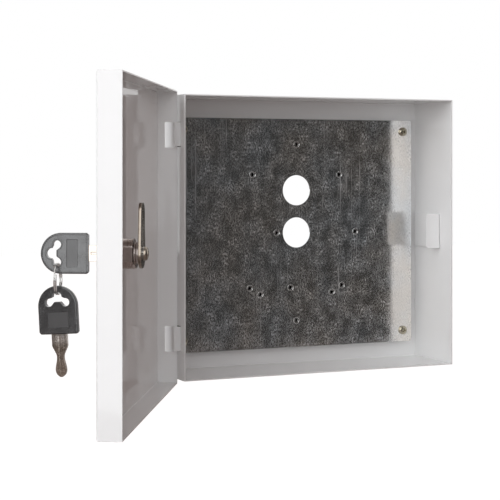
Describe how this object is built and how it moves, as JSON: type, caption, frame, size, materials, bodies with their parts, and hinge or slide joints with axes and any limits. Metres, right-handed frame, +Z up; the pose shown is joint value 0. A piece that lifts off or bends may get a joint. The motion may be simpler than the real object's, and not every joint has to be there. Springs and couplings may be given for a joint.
{
  "type": "wall housing for an alarm keypad",
  "caption": "Shallow sheet-steel wall box with a keyed cam-lock door on lift-off hook hinges, an inner mounting plate with cable holes, and a spare key on a split ring.",
  "frame": {"origin": "centre of the four wall-fixing holes, on the rear face of the back panel", "axes": "+X to the right as seen from the front, -Y out of the open front towards the user, +Z up; the rear face lies on Y = 0"},
  "size_m": [0.3958, 0.2603, 0.226],
  "materials": {
    "white_steel": "smooth white powder coat",
    "galvanised_steel": "galvanised, with faint spangle",
    "zinc_plate": "yellowish zinc plate",
    "nickel_plate": "bright nickel plate",
    "cam_steel": "plated steel",
    "wafer_brass": "plain brass",
    "key_metal": "nickel plate with a warm tint",
    "key_plastic": "black moulded plastic"
  },
  "bodies": {
    "box": {"housing": "white_steel", "strike_bracket": "white_steel", "mounting_plate": "galvanised_steel", "plate_standoffs": "zinc_plate", "plate_screws": "zinc_plate"},
    "door": {"door_panel": "white_steel", "lock_housing": "nickel_plate", "nut_washer": "cam_steel", "lock_nut": "nickel_plate"},
    "plug": {"lock_plug": "nickel_plate", "lock_wafers": "wafer_brass", "stop_washer": "cam_steel", "cam_spacer": "cam_steel", "lock_cam": "cam_steel", "cam_spring_washer": "cam_steel", "cam_screw": "zinc_plate"},
    "key": {"key_blade": "key_metal", "key_head": "key_plastic"},
    "ring": {"key_ring": "nickel_plate"},
    "spare_key": {"spare_key_blade": "key_metal", "spare_key_head": "key_plastic"}
  },
  "joints": [
    {"name": "door_hinge", "type": "hinge", "parent": "box", "child": "door", "pos_m": [-0.1221, -0.047, 0], "axis": [0, 0, -1], "range_deg": [-119.4, 50]},
    {"name": "lock_turn", "type": "hinge", "parent": "door", "child": "plug", "pos_m": [-0.23596, -0.22056, -0.0007], "axis": [0.8712, -0.4909, 0], "range_deg": [0, 90]},
    {"name": "key_pull", "type": "slide", "parent": "plug", "child": "key", "axis": [-0.8712, 0.4909, 0], "range_m": [0, 0.03]},
    {"name": "ring_swing", "type": "hinge", "parent": "key", "child": "ring", "pos_m": [-0.26454, -0.20445, -0.0072], "axis": [0.4909, 0.8712, 0], "range_deg": [-8, 70]},
    {"name": "spare_key_swing", "type": "hinge", "parent": "ring", "child": "spare_key", "pos_m": [-0.26454, -0.20445, -0.0267], "axis": [0.6074, 0.7944, 0], "range_deg": [-10, 25]}
  ]
}
